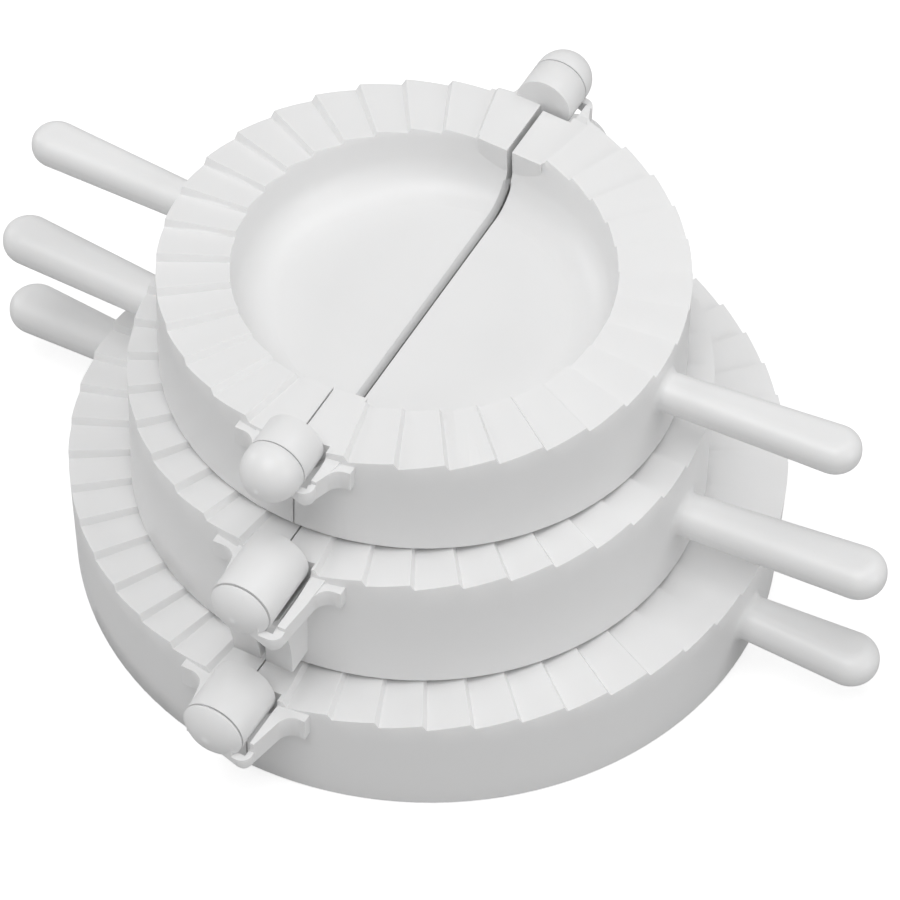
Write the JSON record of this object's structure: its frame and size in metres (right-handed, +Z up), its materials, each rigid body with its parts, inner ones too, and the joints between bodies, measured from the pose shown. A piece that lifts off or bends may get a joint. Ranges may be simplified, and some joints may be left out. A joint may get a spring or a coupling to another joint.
{
  "type": "empanada press set",
  "caption": "Stacked set of round hinged dumpling and empanada presses in white plastic, each opening flat as a pleated ring with a bowl and a bar handle on either side.",
  "frame": {"origin": "middle of the large press's fold axis, dropped to the level of the surface that the stack stands on, which is the middle of the bottom of the whole box", "axes": "+Z up, +Y along the fold axes of the small and the medium press, +X along their right-hand handles. The large press stands turned by 1.2 degrees clockwise, seen from above."},
  "size_m": [0.1396, 0.1204, 0.0575],
  "materials": {
    "white_plastic": "satin white polypropylene"
  },
  "bodies": {
    "large_left": {"large_left_half": "white_plastic"},
    "large_right": {"large_right_half": "white_plastic"},
    "medium_left": {"medium_left_half": "white_plastic"},
    "medium_right": {"medium_right_half": "white_plastic"},
    "small_left": {"small_left_half": "white_plastic"},
    "small_right": {"small_right_half": "white_plastic"}
  },
  "joints": [
    {"name": "large_fold", "type": "hinge", "parent": "large_left", "child": "large_right", "pos_m": [0, 0, 0.0171], "axis": [-0.0209, -0.9998, 0], "range_deg": [0, 180]},
    {"name": "medium_lift", "type": "slide", "parent": "large_left", "child": "medium_left", "axis": [0, 0, 1], "range_m": [0, 0.25]},
    {"name": "medium_fold", "type": "hinge", "parent": "medium_left", "child": "medium_right", "pos_m": [0.0002, -0.0032, 0.03695], "axis": [0, -1, 0], "range_deg": [0, 180]},
    {"name": "small_lift", "type": "slide", "parent": "medium_left", "child": "small_left", "axis": [0, 0, 1], "range_m": [0, 0.25]},
    {"name": "small_fold", "type": "hinge", "parent": "small_left", "child": "small_right", "pos_m": [-0.0005, -0.0014, 0.0534], "axis": [0, -1, 0], "range_deg": [0, 180]}
  ],
  "couplings": [
    {"joint": "large_fold", "follows": "medium_lift", "rad_per_m": 12.56},
    {"joint": "medium_fold", "follows": "small_lift", "rad_per_m": 12.56}
  ]
}
